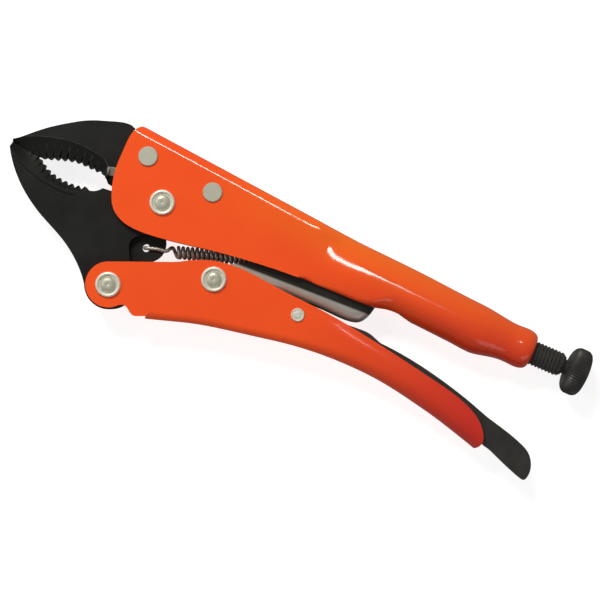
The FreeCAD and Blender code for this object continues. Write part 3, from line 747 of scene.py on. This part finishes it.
def knurled_knob():
    """A turned knob with a domed rim, its straight knurl made by drawing in every other line of its rim."""
    thick = KNOB_END - KNOB_FACE
    profile = [
        (3.06, 6.9), (3.06, 0.0), (6.4, 0.0), (7.6, 0.35), (8.7, 1.0), (9.35, 1.8),
        (KNOB_R, 2.8), (KNOB_R, 5.4), (KNOB_R - 0.25, 6.5), (KNOB_R - 0.95, 7.5), (KNOB_R - 2.1, 8.1),
        (KNOB_R - 3.4, thick), (5.2, thick), (4.6, thick - 0.35), (0, thick - 0.35),
    ]
    knob = turned(profile, KNURL_LINES)
    select_only(knob)
    bpy.ops.object.mode_set(mode="EDIT")
    bpy.ops.mesh.select_all(action="DESELECT")
    mesh = bmesh.from_edit_mesh(knob.data)
    for vertex in mesh.verts:
        radius = math.hypot(vertex.co.x, vertex.co.y)
        line = round(math.atan2(vertex.co.y, vertex.co.x) / math.tau * KNURL_LINES)
        vertex.select = line % 2 == 1 and radius > KNURL_INNER * MM and vertex.co.z < KNURL_END * MM
    mesh.select_flush_mode()
    bmesh.update_edit_mesh(knob.data)
    bpy.ops.transform.resize(value=(KNURL_DRAW, KNURL_DRAW, 1), center_override=(0, 0, 0))
    bpy.ops.object.mode_set(mode="OBJECT")
    lay_along(knob, (KNOB_LOW.x, AXIS_Y, MID), (KNOB_HIGH.x, AXIS_Y, MID))
    return knob


knob = finished(knurled_knob(), "knurled_knob", "adjusting_knob", "black_steel", "adjusting_knob")
smooth_by_angle(knob, 24)


# ---- release rivet ----
def dished_rivet():
    """The small pivot's head on each side: a raised ring with a dished dome inside it."""
    place = centre("release_lever_rivet")
    low, high = (Vector(corner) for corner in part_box("release_lever_rivet"))
    reach = (high.z - low.z) / 2 / MM
    face = reach - 0.9
    half = [
        (1.8, 0), (1.8, face), (2.75, face), (2.75, face + 0.45), (2.5, reach - 0.12), (2.25, reach - 0.1),
        (2.0, reach - 0.4), (1.75, reach - 0.42), (1.5, reach - 0.1), (1.0, reach), (0.55, reach),
        (0.3, reach - 0.3), (0, reach - 0.35),
    ]
    profile = [(radius, -along) for radius, along in reversed(half[1:])] + half
    rivet = turned(profile, 64)
    rivet.location = place
    return rivet


rivet = finished(dished_rivet(), "release_rivet", "lever", "bright_rivet", "release_lever_rivet")
smooth_by_angle(rivet, 40)
rivet.data.materials[0] = POLISHED_RING


# ---- floor, light and camera ----
ROOM_LIGHT = 0.15             # the white room's light on the tool
BACKDROP_SEEN = 0.88          # the same room as the camera sees it
VIEW_TURN = math.radians(23.63)


def studio():
    low, high = cad_box
    middle = (Vector(low) + Vector(high)) / 2
    bpy.ops.object.select_all(action="DESELECT")
    bpy.ops.mesh.primitive_plane_add(size=3.0, location=(middle.x, middle.y, low[2] - 0.00002))
    floor = bpy.context.object
    floor.name = "floor"
    material, _, shader, _ = new_material("floor_white")
    shader.inputs["Base Color"].default_value = (0.45, 0.45, 0.45, 1)
    shader.inputs["Roughness"].default_value = 0.8
    shader.inputs["Specular IOR Level"].default_value = 0.1
    shader.inputs["Emission Color"].default_value = (1, 1, 1, 1)
    shader.inputs["Emission Strength"].default_value = 0.84
    floor.data.materials.append(material)
    floor.visible_glossy = False

    def area(name, place, size, power, aim, colour=(1, 1, 1)):
        lamp = bpy.data.lights.new(name, "AREA")
        lamp.shape = "RECTANGLE"
        lamp.size, lamp.size_y = size
        lamp.energy = power
        lamp.color = colour
        stand = bpy.data.objects.new(name, lamp)
        stand.location = place
        stand.rotation_euler = (Vector(aim) - Vector(place)).to_track_quat("-Z", "Y").to_euler()
        bpy.context.scene.collection.objects.link(stand)
        return stand

    turn = Matrix.Rotation(VIEW_TURN, 3, "Z")

    def seen(right, up, high_above):
        """A place given along the camera's right and up directions, from the tool's middle."""
        return middle + turn @ Vector((right, up, 0)) + Vector((0, 0, high_above))

    area("key", seen(-0.25, 0.66, 0.80), (0.42, 0.20), 7.1, middle, (1.0, 0.95, 0.84))
    glint = area("glint", seen(0.06, 0.37, 0.86), (0.38, 0.13), 3.4, middle)
    area("side", seen(-0.85, 0.15, 0.65), (0.4, 0.5), 1.5, middle)
    area("fill", seen(0.35, -0.85, 0.55), (0.8, 0.4), 1.1, middle, (1.0, 0.80, 0.80))
    lit = bpy.data.collections.new("lit by the glint")
    lit.objects.link(handle_shell)
    lit.objects.link(lever_shell)
    glint.light_linking.receiver_collection = lit
    world = bpy.data.worlds.new("studio")
    world.use_nodes = True
    backdrop = world.node_tree.nodes["Background"]
    backdrop.inputs["Color"].default_value = (1, 1, 1, 1)
    straight = world.node_tree.nodes.new("ShaderNodeLightPath").outputs["Is Camera Ray"]
    strength = math_node(world.node_tree, "MULTIPLY_ADD", straight, BACKDROP_SEEN - ROOM_LIGHT, ROOM_LIGHT)
    world.node_tree.links.new(strength, backdrop.inputs["Strength"])
    bpy.context.scene.world = world
    bpy.context.scene.view_settings.view_transform = "Standard"


def camera():
    """Straight above the tool, turned so that the handles run down to the right."""
    eye = bpy.data.cameras.new("camera")
    eye.sensor_width = 36.0
    eye.lens = 102.3
    stand = bpy.data.objects.new("camera", eye)
    stand.location = (0.0661, -0.0137, 0.700)
    stand.rotation_euler = (0, 0, VIEW_TURN)
    bpy.context.scene.collection.objects.link(stand)
    bpy.context.scene.camera = stand


studio()
camera()
